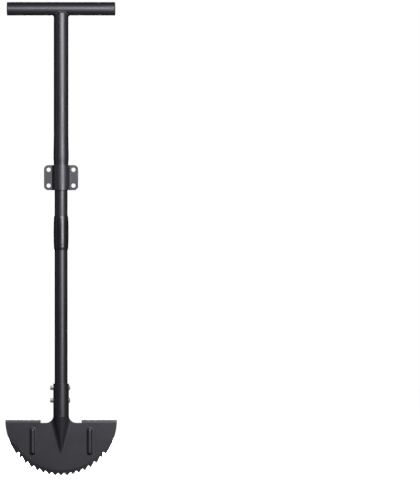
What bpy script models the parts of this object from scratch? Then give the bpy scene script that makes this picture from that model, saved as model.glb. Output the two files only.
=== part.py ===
"""Half-moon lawn edger: a saw-toothed step-on blade on a sectional tube shaft with a T handle.

Frame: metres, +Z up the shaft, -Y the front of the blade, +X to the right seen from the front.
The origin is on the shaft's axis, level with the tip of the lowest tooth.
Run with: blender --background --python part.py
"""
import math

import bmesh
import bpy
from mathutils import Matrix, Vector

OBJECT_NAME = "half_moon_edger"
GAP = 0.0003                     # clearance that touching pieces keep
MERGE = 0.00001                  # merge distance of every modifier that merges
ROUND_STEPS = 44                 # sides of a visible round piece
HIDDEN_STEPS = 24                # sides of a small or hidden round piece
NUT_STEPS = 22                   # a count that puts none of a nut's round faces' edges on its corners

# Shaft: three tubes on one axis
UPPER_TUBE_OD = 0.0308
MID_TUBE_OD = 0.0272
TUBE_WALL = 0.0015
UPPER_TUBE_BOTTOM_Z = 0.600
UPPER_TUBE_TOP_Z = 0.974
MID_TUBE_BOTTOM_Z = 0.512
MID_TUBE_TOP_Z = 0.690
LOWER_TUBE_BOTTOM_Z = 0.130
LOWER_TUBE_TOP_Z = 0.4915
SWELL_Z = 0.669                  # the upper tube swells just above its bracket
SWELL_HEIGHT = 0.0006
SWELL_ABOVE = 0.050
SWELL_BELOW = 0.015

# T handle
CROSS_BAR_OD = 0.0286
CROSS_BAR_LENGTH = 0.228
CROSS_BAR_Z = 0.981
CAP_THICKNESS = 0.0016
CAP_PLUG_DEPTH = 0.012
CAP_WALL = 0.0015
CAP_EDGE = 0.0006

# Bracket: two saddle plates round the foot of the upper tube
BRACKET_WIDTH = 0.0716
BRACKET_HEIGHT = 0.0527
BRACKET_Z = 0.6265
BRACKET_CORNER = 0.009
BRACKET_SHEET = 0.0023
BRACKET_BEND = 0.002
EAR_GAP = 0.001
EAR_HOLE_D = 0.0088
EAR_HOLE_SPACING_X = 0.0521
EAR_HOLE_SPACING_Z = 0.0333

# Coupling: spigot, union sleeve and the pins that go through them
SPIGOT_TOP_Z = 0.560
SPIGOT_NOSE_Z = 0.470
SPIGOT_TOP_CHAMFER = 0.001
SPIGOT_NOSE_CHAMFER = 0.0025
SLEEVE_BOTTOM_Z = 0.475
SLEEVE_TOP_Z = 0.546
SLEEVE_MID_R = 0.0158
SLEEVE_END_R = 0.0153
SLEEVE_LIP_R = 0.0145
SLEEVE_TAPER = 0.0055
THREAD_R = 0.0133
THREAD_ROOT_R = 0.0125
THREAD_PITCH = 0.002
THREAD_TURNS = 8
STOP_BEAD_R = 0.0143
STOP_BEAD_Z = 0.4855
STOP_BEAD_HALF = 0.002
CHAMBER_ROOM = 0.004             # free length over the bead in the sleeve's chamber
CHAMBER_CHAMFER = 0.0011
PIN_D = 0.004
RIVET_Z = 0.530
INDEX_PIN_Z = 0.4865
NOTCH_DEPTH = 0.0075

# Socket tube on the blade and its two cross bolts
SOCKET_OD = 0.0328
SOCKET_WALL = 0.0025
SOCKET_BASE_Z = 0.125
SOCKET_TOP_Z = 0.1947
SOCKET_TONGUE_Z = 0.094          # the slanted tongue behind the blade ends here
SOCKET_TONGUE_TOP_Z = 0.119      # and starts here on the rear of the tube
BOLT_Z = (0.1591, 0.1856)
BOLT_D = 0.006
BOLT_HEAD_D = 0.0115
BOLT_HEAD_HEIGHT = 0.0028
BOLT_HEAD_RIM = 0.0004
BOLT_CHAMFER = 0.0005
NUT_FLATS = 0.010
NUT_HEX_HEIGHT = 0.0036
NUT_HEIGHT = 0.005
NUT_CHAMFER = 0.0006
NUT_COLLAR_D = 0.009
WASHER_D = 0.012
WASHER_THICKNESS = 0.001

# Blade: a half disc of sheet with teeth on its rim
SHEET = 0.0022
BLADE_HALF_WIDTH = 0.117
DISC_CENTER_Z = 0.120
TOOTH_TIP_R = 0.120
TOOTH_ROOT_R = 0.1133
TOOTH_PITCH = 0.0125
PITCHED_TEETH = 6                # evenly spaced teeth each side of the middle one
OUTER_TEETH = (0.0868, 0.0947)   # the two closer teeth that end each row
TOOTH_LEAN = 0.0013              # a root lies this far outside the middle of its pitch
LAST_ROOT_STEP = 0.0012          # the last root lies this far outside the tooth before it
LAST_ROOT_R = 0.1120
ROOT_CUT = 0.0017                # how far from its corner a root's rounding starts
TIP_CUT = 0.0007                 # and a tip's
RIM_STEPS = 9                    # stretches of the bare rim outside the last tooth
RIM_TOP_ANGLE = 4.0              # degrees under level at which the rim meets the straight side
RECESS_Z = 0.1117                # bare top edge between the treads and the socket
RECESS_X = 0.043
NECK_FILLET_R = 0.0161
NECK_FILLET_X = 0.032
GRIND_R = 0.1078                 # inner edge of the ground band behind the teeth
GRIND_DEPTH = 0.0016
GRIND_END_X = 0.090
GRIND_END_Z = 0.062
GRIND_END_SLOPE = 0.58
GRIND_RUN_IN = 0.008             # the grinding cutter reaches this far past the band
GRIND_STEPS = 96

# Foot treads: the sheet's top edge folded back
TREAD_BEND_Z = 0.112
TREAD_BEND_R = 0.0055
TREAD_DEPTH = 0.018
SLIT = 0.0005                    # cut that parts a tread's fold from the flat sheet beside it

# Pressed shapes in the blade
FROG_TIP_Z = 0.0476
FROG_FILLET_TIP = 0.006
FROG_FILLET_TOP = 0.011
BEAD_X = 0.060
BEAD_LOW_Z = 0.050
BEAD_HIGH_Z = 0.096
BEAD_R = 0.005
BEAD_FILLET = 0.0022
ROWS_BELOW_BEAD = (-0.002,)      # heights of the sheet's plain grid lines
ROWS_ALONG_BEAD = (0.059, 0.068, 0.078, 0.087)
ROW_UNDER_BEND = 0.108
ROW_ON_TREAD = 0.127
SHEET_MARGIN = 0.003             # the sheet is this much wider than the blade before it is cut out

SHEET_TURN = (math.pi / 2, 0.0, 0.0)                 # local XY outline stands in the XZ plane
SIDE_TURN = (math.pi / 2, 0.0, math.pi / 2)          # local XY outline stands in the YZ plane
ALONG_X = (0.0, math.pi / 2, 0.0)                    # local Z points to +X
AGAINST_X = (0.0, -math.pi / 2, 0.0)                 # local Z points to -X


# ---------------------------------------------------------------- scene and object helpers

def clear_scene():
    """Remove whatever the file holds, so the script can run again."""
    for obj in list(bpy.data.objects):
        bpy.data.objects.remove(obj, do_unlink=True)


def make_collection(name):
    """A new collection in the scene."""
    collection = bpy.data.collections.new(name)
    bpy.context.scene.collection.children.link(collection)
    return collection


def make_material(name, color, roughness, metallic):
    """A Principled material with one colour."""
    material = bpy.data.materials.new(name)
    material.use_nodes = True
    shader = material.node_tree.nodes["Principled BSDF"]
    shader.inputs["Base Color"].default_value = (*color, 1.0)
    shader.inputs["Roughness"].default_value = roughness
    shader.inputs["Metallic"].default_value = metallic
    return material


def add_object(name, data, collection):
    """Link a new object that shows a mesh."""
    obj = bpy.data.objects.new(name, data)
    collection.objects.link(obj)
    return obj


def mesh_from(bm, name):
    """Close a bmesh into a mesh with its faces pointing out."""
    bmesh.ops.recalc_face_normals(bm, faces=bm.faces[:])
    mesh = bpy.data.meshes.new(name)
    bm.to_mesh(mesh)
    bm.free()
    return mesh


def bake(obj):
    """Replace an object's mesh by the result of its modifiers."""
    bpy.context.view_layer.update()
    depsgraph = bpy.context.evaluated_depsgraph_get()
    mesh = bpy.data.meshes.new_from_object(obj.evaluated_get(depsgraph))
    obj.modifiers.clear()
    obj.data = mesh
    mesh.name = obj.name
    return obj


def shade(obj, sharp_angle=35.0):
    """Smooth shading with sharp edges kept."""
    obj.data.shade_smooth()
    obj.data.set_sharp_from_angle(angle=math.radians(sharp_angle))


def boolean(obj, cutter, operation="DIFFERENCE"):
    """Cut, join or intersect an object with another and keep the result."""
    modifier = obj.modifiers.new(cutter.name, "BOOLEAN")
    modifier.object = cutter
    modifier.operation = operation
    modifier.solver = "EXACT"
    bake(obj)


def make_cutter(obj):
    """Mark an object as one that only shapes others."""
    obj.hide_render = True
    obj.display_type = "WIRE"
    return obj


# ---------------------------------------------------------------- shape helpers

def arc(center, radius, start, end, steps):
    """Points of an arc in a plane, angles in degrees, both ends included."""
    points = []
    for i in range(steps + 1):
        angle = math.radians(start + (end - start) * i / steps)
        points.append((center[0] + radius * math.cos(angle), center[1] + radius * math.sin(angle)))
    return points


def mirrored(points):
    """A half outline given from bottom to top, closed by its mirror image in the Y axis."""
    return points + [(-x, y) for x, y in reversed(points) if x > MERGE]


def turned(name, profile, collection, steps=ROUND_STEPS, closed=True):
    """A turned piece: a profile of (radius, z) that runs down its outer side first."""
    mesh = bpy.data.meshes.new(name)
    edges = [(i, i + 1) for i in range(len(profile) - 1)]
    if closed:
        edges.append((len(profile) - 1, 0))
    mesh.from_pydata([(radius, 0.0, z) for radius, z in profile], edges, [])
    obj = add_object(name, mesh, collection)
    screw = obj.modifiers.new("turn", "SCREW")
    screw.axis = "Z"
    screw.angle = 2 * math.pi
    screw.steps = steps
    screw.render_steps = steps
    screw.use_merge_vertices = True
    screw.merge_threshold = MERGE
    return bake(obj)


def tube(name, outer_r, inner_r, bottom, top, collection):
    """A plain round tube that stands on the shaft's axis."""
    profile = [(outer_r, top), (outer_r, bottom), (inner_r, bottom), (inner_r, top)]
    return turned(name, profile, collection)


def prism(name, points, half_depth, collection, turn=(0.0, 0.0, 0.0), location=(0.0, 0.0, 0.0)):
    """A flat outline given a thickness, both sides of its plane."""
    curve = bpy.data.curves.new(name, "CURVE")
    curve.dimensions = "2D"
    curve.fill_mode = "BOTH"
    curve.extrude = half_depth
    spline = curve.splines.new("POLY")
    spline.points.add(len(points) - 1)
    for point, (x, y) in zip(spline.points, points):
        point.co = (x, y, 0.0, 1.0)
    spline.use_cyclic_u = True
    drawn = add_object(name + "_outline", curve, collection)
    bpy.context.view_layer.update()
    depsgraph = bpy.context.evaluated_depsgraph_get()
    mesh = bpy.data.meshes.new_from_object(drawn.evaluated_get(depsgraph))
    bpy.data.objects.remove(drawn, do_unlink=True)
    bm = bmesh.new()
    bm.from_mesh(mesh)
    bmesh.ops.remove_doubles(bm, verts=bm.verts[:], dist=MERGE)
    bpy.data.meshes.remove(mesh)
    obj = add_object(name, mesh_from(bm, name), collection)
    obj.rotation_euler = turn
    obj.location = location
    return obj


def cylinder(name, radius, length, collection, turn=(0.0, 0.0, 0.0), location=(0.0, 0.0, 0.0),
             steps=HIDDEN_STEPS):
    """A plain cylinder about its own centre, turned half a step so no edge lies in its XZ plane."""
    bm = bmesh.new()
    bmesh.ops.create_cone(bm, cap_ends=True, segments=steps, radius1=radius, radius2=radius,
                          depth=length, matrix=Matrix.Rotation(math.pi / steps, 4, "Z"))
    obj = add_object(name, mesh_from(bm, name), collection)
    obj.rotation_euler = turn
    obj.location = location
    return obj


def rounded_rectangle(width, height, corner):
    """Outline of a rectangle with round corners about the origin."""
    points = []
    for turn, (sx, sy) in enumerate(((1, 1), (-1, 1), (-1, -1), (1, -1))):
        center = (sx * (width / 2 - corner), sy * (height / 2 - corner))
        points += arc(center, corner, 90 * turn, 90 * turn + 90, 6)
    return points


# ---------------------------------------------------------------- T handle

def build_cross_bar(parts):
    """The grip tube, across the top of the shaft."""
    radius = CROSS_BAR_OD / 2
    half = CROSS_BAR_LENGTH / 2 - CAP_THICKNESS - GAP
    obj = tube("cross_bar", radius, radius - TUBE_WALL, -half, half, parts)
    obj.rotation_euler = ALONG_X
    obj.location = (0.0, 0.0, CROSS_BAR_Z)
    return obj


def build_cross_bar_cap(parts, name, turn, side):
    """A plug that closes one end of the grip tube, flange outside and cup inside."""
    radius = CROSS_BAR_OD / 2
    plug = radius - TUBE_WALL - GAP
    floor = -CAP_THICKNESS - CAP_WALL
    profile = [
        (0.0, 0.0),
        (radius - CAP_EDGE, 0.0),
        (radius, -CAP_EDGE),
        (radius, -CAP_THICKNESS),
        (plug, -CAP_THICKNESS),
        (plug, -CAP_PLUG_DEPTH),
        (plug - CAP_WALL, -CAP_PLUG_DEPTH),
        (plug - CAP_WALL, floor),
        (0.0, floor),
    ]
    obj = turned(name, profile, parts, closed=False)
    obj.rotation_euler = turn
    obj.location = (side * CROSS_BAR_LENGTH / 2, 0.0, CROSS_BAR_Z)
    return obj


# ---------------------------------------------------------------- shaft tubes

def swell_profile(radius):
    """Outer points of the upper tube where it swells above the bracket, from top to bottom."""
    points = []
    for share in (1.0, 0.8, 0.6, 0.4, 0.2, 0.0):
        height = SWELL_HEIGHT * (1 + math.cos(math.pi * share)) / 2
        points.append((radius + height, SWELL_Z + SWELL_ABOVE * share))
    for share in (0.35, 0.65, 1.0):
        height = SWELL_HEIGHT * (1 + math.cos(math.pi * share)) / 2
        points.append((radius + height, SWELL_Z - SWELL_BELOW * share))
    return points


def build_upper_tube(parts, cutters):
    """The thick tube under the grip, its top notched to sit against the cross bar."""
    radius = UPPER_TUBE_OD / 2
    profile = [(radius, UPPER_TUBE_TOP_Z)]
    profile += swell_profile(radius)
    profile += [
        (radius, UPPER_TUBE_BOTTOM_Z),
        (radius - TUBE_WALL, UPPER_TUBE_BOTTOM_Z),
        (radius - TUBE_WALL, UPPER_TUBE_TOP_Z),
    ]
    obj = turned("upper_tube", profile, parts)
    notch = make_cutter(cylinder("cross_bar_notch", CROSS_BAR_OD / 2 + GAP, UPPER_TUBE_OD * 2, cutters,
                                 ALONG_X, (0.0, 0.0, CROSS_BAR_Z), ROUND_STEPS))
    boolean(obj, notch)
    return obj


def build_mid_tube(parts, rivet_hole):
    """The thinner tube that comes out of the upper tube and carries the spigot."""
    radius = MID_TUBE_OD / 2
    obj = tube("mid_tube", radius, radius - TUBE_WALL, MID_TUBE_BOTTOM_Z, MID_TUBE_TOP_Z, parts)
    boolean(obj, rivet_hole)
    return obj


def build_lower_tube(parts, cutters, bolt_holes):
    """The bottom tube: a stop bead and two notches at its top, two cross holes at its foot."""
    radius = MID_TUBE_OD / 2
    profile = [(radius, LOWER_TUBE_TOP_Z)]
    for share in (1.0, 0.5, 0.0, -0.5, -1.0):
        bulge = (STOP_BEAD_R - radius) * math.cos(math.pi / 2 * share)
        profile.append((radius + bulge, STOP_BEAD_Z + STOP_BEAD_HALF * share))
    profile += [
        (radius, LOWER_TUBE_BOTTOM_Z),
        (radius - TUBE_WALL, LOWER_TUBE_BOTTOM_Z),
        (radius - TUBE_WALL, LOWER_TUBE_TOP_Z),
    ]
    obj = turned("lower_tube", profile, parts)
    width = PIN_D / 2 + GAP
    notch = [(-width, width), (width, width)] + arc((0.0, width - NOTCH_DEPTH), width, 360, 180, 7)
    slot = prism("index_notch", notch, UPPER_TUBE_OD, cutters, SIDE_TURN, (0.0, 0.0, LOWER_TUBE_TOP_Z))
    boolean(obj, make_cutter(slot))
    for hole in bolt_holes:
        boolean(obj, hole)
    return obj


# ---------------------------------------------------------------- bracket

def saddle_outline(end_x):
    """Section of one saddle plate, bulging to -Y, from its right ear round to its left."""
    inner_r = UPPER_TUBE_OD / 2 + GAP
    outer_r = inner_r + BRACKET_SHEET
    ear_front = -(EAR_GAP / 2 + BRACKET_SHEET)
    bend_y = ear_front - BRACKET_BEND
    bend_x = math.sqrt((outer_r + BRACKET_BEND) ** 2 - bend_y ** 2)
    bend = (bend_x, bend_y)
    meet = math.degrees(math.atan2(bend_y, bend_x))
    outside = arc((0.0, 0.0), outer_r, -90, meet, 14)
    outside += arc(bend, BRACKET_BEND, 180 + meet, 90, 5)
    inside = arc(bend, BRACKET_BEND + BRACKET_SHEET, 90, 180 + meet, 5)
    inside += arc((0.0, 0.0), inner_r, meet, -90, 14)
    right = outside + [(end_x, ear_front), (end_x, -EAR_GAP / 2)] + inside
    left = [(-x, y) for x, y in reversed(right)][1:-1]
    return right + left


def build_brackets(parts, cutters):
    """Front and back saddle plates with four holes through their ears."""
    front = prism("bracket_front", saddle_outline(BRACKET_WIDTH / 2 + BRACKET_SHEET),
                  BRACKET_HEIGHT / 2 + BRACKET_SHEET, parts, location=(0.0, 0.0, BRACKET_Z))
    plate = prism("bracket_blank", rounded_rectangle(BRACKET_WIDTH, BRACKET_HEIGHT, BRACKET_CORNER),
                  UPPER_TUBE_OD, cutters, SHEET_TURN, (0.0, 0.0, BRACKET_Z))
    boolean(front, make_cutter(plate), "INTERSECT")
    for side_x in (-1, 1):
        for side_z in (-1, 1):
            place = (side_x * EAR_HOLE_SPACING_X / 2, 0.0, BRACKET_Z + side_z * EAR_HOLE_SPACING_Z / 2)
            hole = cylinder("ear_hole", EAR_HOLE_D / 2, UPPER_TUBE_OD, cutters, SHEET_TURN, place)
            boolean(front, make_cutter(hole))
    back = add_object("bracket_back", front.data, parts)
    back.location = front.location
    back.rotation_euler = (0.0, 0.0, math.pi)
    return front, back


# ---------------------------------------------------------------- coupling

def build_spigot(parts, holes):
    """Threaded plug: shank in the mid tube, thread under it, nose in the lower tube."""
    shank_r = MID_TUBE_OD / 2 - TUBE_WALL - GAP
    thread_top = MID_TUBE_BOTTOM_Z - GAP
    thread_bottom = thread_top - THREAD_PITCH * THREAD_TURNS
    profile = [
        (0.0, SPIGOT_TOP_Z),
        (shank_r - SPIGOT_TOP_CHAMFER, SPIGOT_TOP_Z),
        (shank_r, SPIGOT_TOP_Z - SPIGOT_TOP_CHAMFER),
        (shank_r, thread_top),
    ]
    for turn in range(THREAD_TURNS):
        top = thread_top - THREAD_PITCH * turn
        profile.append((THREAD_ROOT_R, top - THREAD_PITCH / 10))
        profile.append((THREAD_R, top - THREAD_PITCH / 2))
    profile += [
        (THREAD_ROOT_R, thread_bottom),
        (THREAD_ROOT_R, LOWER_TUBE_TOP_Z + GAP),
        (shank_r, LOWER_TUBE_TOP_Z + GAP),
        (shank_r, SPIGOT_NOSE_Z + SPIGOT_NOSE_CHAMFER),
        (shank_r - SPIGOT_NOSE_CHAMFER, SPIGOT_NOSE_Z),
        (0.0, SPIGOT_NOSE_Z),
    ]
    obj = turned("coupling_spigot", profile, parts, HIDDEN_STEPS, closed=False)
    for hole in holes:
        boolean(obj, hole)
    return obj


def build_pin(parts, name, length, z):
    """A cross pin through the shaft's axis."""
    return cylinder(name, PIN_D / 2, length, parts, ALONG_X, (0.0, 0.0, z), 16)


def sleeve_outer_radius(share):
    """Barrel shape of the sleeve between its two end tapers, share from -1 to 1."""
    return SLEEVE_MID_R - (SLEEVE_MID_R - SLEEVE_END_R) * share ** 2


def build_sleeve(parts):
    """Union sleeve: barrel outside, stepped bore inside, origin on the shaft's axis."""
    center = (SLEEVE_TOP_Z + SLEEVE_BOTTOM_Z) / 2
    half = (SLEEVE_TOP_Z - SLEEVE_BOTTOM_Z) / 2
    body = half - SLEEVE_TAPER
    tube_bore = MID_TUBE_OD / 2 + GAP
    thread_bore = THREAD_R + GAP
    chamber = STOP_BEAD_R + GAP
    profile = [(SLEEVE_LIP_R, half)]
    for share in (1.0, 0.6, 0.2, -0.2, -0.6, -1.0):
        profile.append((sleeve_outer_radius(share), body * share))
    shoulder = MID_TUBE_BOTTOM_Z - 2 * GAP - center
    chamber_top = STOP_BEAD_Z + STOP_BEAD_HALF + CHAMBER_ROOM - center
    chamber_bottom = STOP_BEAD_Z - STOP_BEAD_HALF - GAP - center
    profile += [
        (SLEEVE_LIP_R, -half),
        (tube_bore, -half),
        (tube_bore, chamber_bottom),
        (chamber, chamber_bottom + CHAMBER_CHAMFER),
        (chamber, chamber_top),
        (thread_bore, chamber_top + CHAMBER_CHAMFER),
        (thread_bore, shoulder),
        (tube_bore, shoulder),
        (tube_bore, half),
    ]
    obj = turned("coupling_sleeve", profile, parts)
    obj.location = (0.0, 0.0, center)
    return obj


# ---------------------------------------------------------------- socket and its fasteners

def build_socket_tube(parts, cutters, bolt_holes):
    """The tube welded over the frog; behind the blade it runs down as a slanted tongue."""
    radius = SOCKET_OD / 2
    bottom = SOCKET_TONGUE_Z - SOCKET_WALL
    obj = tube("socket_tube", radius, radius - SOCKET_WALL, bottom, SOCKET_TOP_Z, parts)
    back_face = SHEET + GAP
    below = bottom - SOCKET_WALL
    removed = [
        (-SOCKET_OD, below),
        (SOCKET_OD, below),
        (SOCKET_OD, SOCKET_BASE_Z),
        (radius + GAP, SOCKET_TONGUE_TOP_Z),
        (back_face, SOCKET_TONGUE_Z),
        (back_face, SOCKET_BASE_Z + GAP),
        (-SOCKET_OD, SOCKET_BASE_Z + GAP),
    ]
    boolean(obj, make_cutter(prism("socket_foot_cut", removed, SOCKET_OD, cutters, SIDE_TURN)))
    for hole in bolt_holes:
        boolean(obj, hole)
    return obj


def build_bolt(parts, name, z):
    """Round-head cross bolt, head against the socket's right side, origin under its head."""
    shank = BOLT_D / 2
    head = BOLT_HEAD_D / 2
    rise = BOLT_HEAD_HEIGHT - BOLT_HEAD_RIM
    nut_face = SOCKET_OD / 2 + WASHER_THICKNESS + 2 * GAP + NUT_HEIGHT
    length = SOCKET_OD / 2 + nut_face
    dome_r = (head ** 2 + rise ** 2) / (2 * rise)
    edge = math.degrees(math.asin(head / dome_r))
    dome = arc((0.0, BOLT_HEAD_HEIGHT - dome_r), dome_r, 90, 90 - edge, 5)
    profile = [(0.0, BOLT_HEAD_HEIGHT)] + dome[1:] + [
        (head, 0.0),
        (shank, 0.0),
        (shank, BOLT_CHAMFER - length),
        (shank - BOLT_CHAMFER, -length),
        (0.0, -length),
    ]
    obj = turned(name, profile, parts, HIDDEN_STEPS, closed=False)
    obj.rotation_euler = ALONG_X
    obj.location = (SOCKET_OD / 2 + GAP, 0.0, z)
    return obj


def build_washer(parts, name, z):
    """Flat washer between the nut and the socket's left side."""
    bore = BOLT_D / 2 + GAP
    profile = [(WASHER_D / 2, WASHER_THICKNESS), (WASHER_D / 2, 0.0), (bore, 0.0),
               (bore, WASHER_THICKNESS)]
    obj = turned(name, profile, parts, HIDDEN_STEPS)
    obj.rotation_euler = AGAINST_X
    obj.location = (-SOCKET_OD / 2 - GAP, 0.0, z)
    return obj


def build_nut(parts, cutters, name, z):
    """Lock nut: chamfered hexagon with a round collar, flats facing up and down."""
    bore = BOLT_D / 2 + GAP
    corner = NUT_FLATS / 2 / math.cos(math.pi / 6)
    collar = NUT_COLLAR_D / 2
    face = NUT_FLATS / 2 - GAP
    girth = corner + GAP
    profile = [
        (collar - NUT_CHAMFER, NUT_HEIGHT),
        (collar, NUT_HEIGHT - NUT_CHAMFER),
        (collar, NUT_HEX_HEIGHT),
        (face, NUT_HEX_HEIGHT),
        (girth, NUT_HEX_HEIGHT - NUT_CHAMFER),
        (girth, NUT_CHAMFER),
        (face, 0.0),
        (bore, 0.0),
        (bore, NUT_HEIGHT),
    ]
    obj = turned(name, profile, parts, NUT_STEPS)
    hexagon = arc((0.0, 0.0), corner, 90, 390, 5)
    blank = prism(name + "_hexagon", hexagon, NUT_HEIGHT * 2, cutters)
    boolean(obj, make_cutter(blank), "INTERSECT")
    obj.rotation_euler = AGAINST_X
    obj.location = (-SOCKET_OD / 2 - WASHER_THICKNESS - 2 * GAP, 0.0, z)
    return obj


# ---------------------------------------------------------------- blade

def foot_distance(radius, fillet):
    """How far from its middle a round swelling meets the flat sheet."""
    return math.sqrt((radius + fillet) ** 2 - fillet ** 2)


def pressed_height(distance, radius, fillet, depth):
    """Height of a round swelling with a fillet at its foot, on a skin `depth` under the front."""
    foot = foot_distance(radius, fillet)
    if distance >= foot:
        return 0.0
    shoulder = foot * (radius - depth) / (radius + fillet)
    if distance < shoulder:
        return depth + math.sqrt((radius - depth) ** 2 - distance ** 2)
    under = fillet + depth
    return under - math.sqrt(max(under ** 2 - (foot - distance) ** 2, 0.0))


def frog_size(z):
    """Radius and foot fillet of the half cone at a height."""
    rise = min(max((z - FROG_TIP_Z) / (SOCKET_BASE_Z - FROG_TIP_Z), 0.0), 1.0)
    fillet = FROG_FILLET_TIP + (FROG_FILLET_TOP - FROG_FILLET_TIP) * rise
    return SOCKET_OD / 2 * rise, fillet


def sheet_height(x, z, depth):
    """How far the sheet's skin stands forward of flat, from the frog and the two beads."""
    radius, fillet = frog_size(z)
    frog = pressed_height(abs(x), radius, fillet, depth) if radius > 0.0 else 0.0
    nearest_z = min(max(z, BEAD_LOW_Z), BEAD_HIGH_Z)
    from_bead = math.hypot(abs(x) - BEAD_X, z - nearest_z)
    return frog + pressed_height(from_bead, BEAD_R, BEAD_FILLET, depth)


def eased(count):
    """Shares from 0 to 1 that crowd together towards 1."""
    return [math.sin(math.pi / 2 * i / count) for i in range(count + 1)]


def column_places(z):
    """X of each grid line on the right half of the sheet at a height, from the middle out."""
    radius, fillet = frog_size(z)
    frog_foot = max(foot_distance(radius, fillet), 0.004)
    bead_foot = foot_distance(BEAD_R, BEAD_FILLET)
    columns = [frog_foot * share for share in eased(8)]
    columns += [RECESS_X - 2 * SLIT, RECESS_X - SLIT]
    columns += [BEAD_X - bead_foot * share for share in reversed(eased(4))]
    columns += [BEAD_X + bead_foot * share for share in eased(4)[1:]]
    columns.append(BLADE_HALF_WIDTH + SHEET_MARGIN)
    return columns


def row_places():
    """Developed height of each grid line, up the sheet and then back along the tread."""
    bead_foot = foot_distance(BEAD_R, BEAD_FILLET)
    rows = list(ROWS_BELOW_BEAD)
    rows += [BEAD_LOW_Z - bead_foot * share for share in reversed(eased(4))]
    rows += ROWS_ALONG_BEAD
    rows += [BEAD_HIGH_Z + bead_foot * share for share in eased(4)]
    rows.append(ROW_UNDER_BEND)
    bend_length = TREAD_BEND_R * math.pi / 2
    rows += [TREAD_BEND_Z + bend_length * i / 5 for i in range(6)]
    rows.append(ROW_ON_TREAD)
    rows.append(TREAD_BEND_Z + bend_length + TREAD_DEPTH - TREAD_BEND_R)
    return rows


def sheet_point(x, reach, folded, depth):
    """Place of a point of the sheet, from its developed height and its depth under the front."""
    if not folded or reach <= TREAD_BEND_Z:
        return Vector((x, depth - sheet_height(x, reach, depth), reach))
    turn = min((reach - TREAD_BEND_Z) / TREAD_BEND_R, math.pi / 2)
    past = reach - TREAD_BEND_Z - turn * TREAD_BEND_R
    radius = TREAD_BEND_R - depth
    return Vector((
        x,
        TREAD_BEND_R - radius * math.cos(turn) + past,
        TREAD_BEND_Z + radius * math.sin(turn),
    ))


def place_sheet_corner(vert, rows, depth):
    """Move one corner of the flat grid, which counts in whole steps, to its place in the sheet."""
    column = round(vert.co.x)
    reach = rows[round(vert.co.y)]
    x = math.copysign(column_places(reach)[abs(column)], column)
    outside_recess = abs(x) > RECESS_X - 1.5 * SLIT
    vert.co = sheet_point(x, reach, outside_recess, depth)


def build_sheet(parts):
    """The pressed and folded sheet before its outline is cut, as one closed skin."""
    rows = row_places()
    half_columns = len(column_places(0.0)) - 1
    slit = column_places(0.0).index(RECESS_X - 2 * SLIT) + 0.5
    bm = bmesh.new()
    bmesh.ops.create_grid(bm, x_segments=2 * half_columns, y_segments=len(rows) - 1, size=1.0)
    stretch = Matrix.Diagonal((half_columns, (len(rows) - 1) / 2, 1.0, 1.0))
    lift = Matrix.Translation((0.0, (len(rows) - 1) / 2, 0.0))
    bmesh.ops.transform(bm, matrix=lift @ stretch, verts=bm.verts[:])
    bend_row = rows.index(TREAD_BEND_Z)
    opened = []
    for face in bm.faces:
        middle = face.calc_center_median()
        if abs(abs(middle.x) - slit) < 0.1 and middle.y > bend_row:
            opened.append(face)
    bmesh.ops.delete(bm, geom=opened, context="FACES")
    front = bm.verts[:]
    grown = bmesh.ops.extrude_face_region(bm, geom=bm.faces[:])
    back = [item for item in grown["geom"] if isinstance(item, bmesh.types.BMVert)]
    for vert in front:
        place_sheet_corner(vert, rows, 0.0)
    for vert in back:
        place_sheet_corner(vert, rows, SHEET)
    return add_object("blade", mesh_from(bm, "blade"), parts)


def on_disc(radius, x):
    """Point of the disc's lower half at an x, on a circle of some radius."""
    return (x, DISC_CENTER_Z - math.sqrt(radius ** 2 - x ** 2))


def blunted(before, corner, after, cut):
    """A corner of an outline rounded off by three points, the outer two `cut` from the corner."""
    middle = Vector(corner)
    enter = middle + (Vector(before) - middle).normalized() * cut
    leave = middle + (Vector(after) - middle).normalized() * cut
    crown = (enter + leave + 2 * middle) / 4
    return [tuple(enter), tuple(crown), tuple(leave)]


def tooth_row():
    """Right half of the saw edge, from the middle tooth outwards to the tip of the last one."""
    tips = [TOOTH_PITCH * i for i in range(PITCHED_TEETH + 1)] + list(OUTER_TEETH)
    corners = [on_disc(TOOTH_TIP_R, 0.0)]
    for here, there in zip(tips, tips[1:]):
        root = on_disc(TOOTH_ROOT_R, (here + there) / 2 + (TOOTH_LEAN if here else 0.0))
        if there == tips[-1]:
            root = on_disc(LAST_ROOT_R, here + LAST_ROOT_STEP)
        corners.append(root)
        corners.append(on_disc(TOOTH_TIP_R, there))
    points = [corners[0]]
    for index in range(1, len(corners) - 1):
        cut = ROOT_CUT if index % 2 else TIP_CUT
        points += blunted(corners[index - 1], corners[index], corners[index + 1], cut)
    return points + [corners[-1]]


def blade_outline():
    """Closed outline of the finished blade seen from the front."""
    rim_start = math.degrees(math.acos(OUTER_TEETH[-1] / TOOTH_TIP_R))
    points = tooth_row()
    for i in range(1, RIM_STEPS + 1):
        share = i / RIM_STEPS
        angle = math.radians(rim_start * (1 - share) + RIM_TOP_ANGLE * share)
        radius = TOOTH_TIP_R + (BLADE_HALF_WIDTH + GAP - TOOTH_TIP_R) * math.sqrt(share)
        points.append((radius * math.cos(angle), DISC_CENTER_Z - radius * math.sin(angle)))
    top = TREAD_BEND_Z + TREAD_BEND_R + SHEET
    points += [
        (BLADE_HALF_WIDTH, RECESS_Z),
        (BLADE_HALF_WIDTH, top),
        (RECESS_X, top),
        (RECESS_X, RECESS_Z),
    ]
    fillet_end = SOCKET_OD / 2
    center = (NECK_FILLET_X, RECESS_Z + NECK_FILLET_R)
    last = math.degrees(math.acos((fillet_end - center[0]) / NECK_FILLET_R))
    points += arc(center, NECK_FILLET_R, 270, 360 - last, 7)
    points.append((fillet_end, SOCKET_BASE_Z))
    return mirrored(points)


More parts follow.
